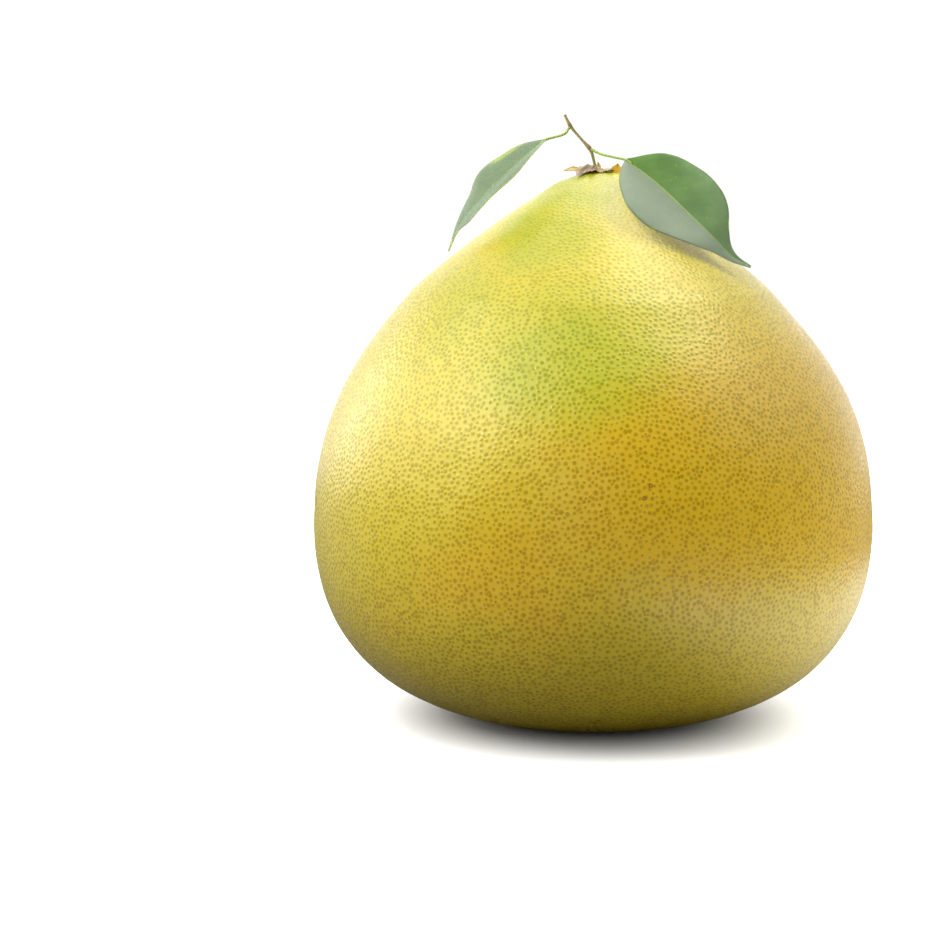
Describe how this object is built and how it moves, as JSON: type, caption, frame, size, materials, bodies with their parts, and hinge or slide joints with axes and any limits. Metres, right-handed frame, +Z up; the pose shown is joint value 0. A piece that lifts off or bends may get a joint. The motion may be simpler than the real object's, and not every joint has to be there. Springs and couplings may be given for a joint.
{
  "type": "pomelo",
  "caption": "Whole pear-shaped pomelo with a dotted yellow rind, a dried calyx and leaves on its cut twig, resting on its blossom end.",
  "frame": {"origin": "centre of the flat spot on the blossom end that the fruit rests on", "axes": "+Z up through the crown and the twig, +X towards the right-hand leaf, -Y towards the side that this leaf hangs in front of"},
  "size_m": [0.18, 0.18, 0.1941],
  "materials": {
    "rind": "waxy yellow citrus rind with olive green oil glands",
    "dried_calyx": "dry and papery, brown with golden tips",
    "twig_bark": "olive brown bark",
    "leaf": "smooth waxy green leaf"
  },
  "bodies": {
    "root": {"fruit": "rind", "calyx": "dried_calyx", "twig": "twig_bark", "leaf_left": "leaf", "leaf_right": "leaf"}
  },
  "joints": []
}
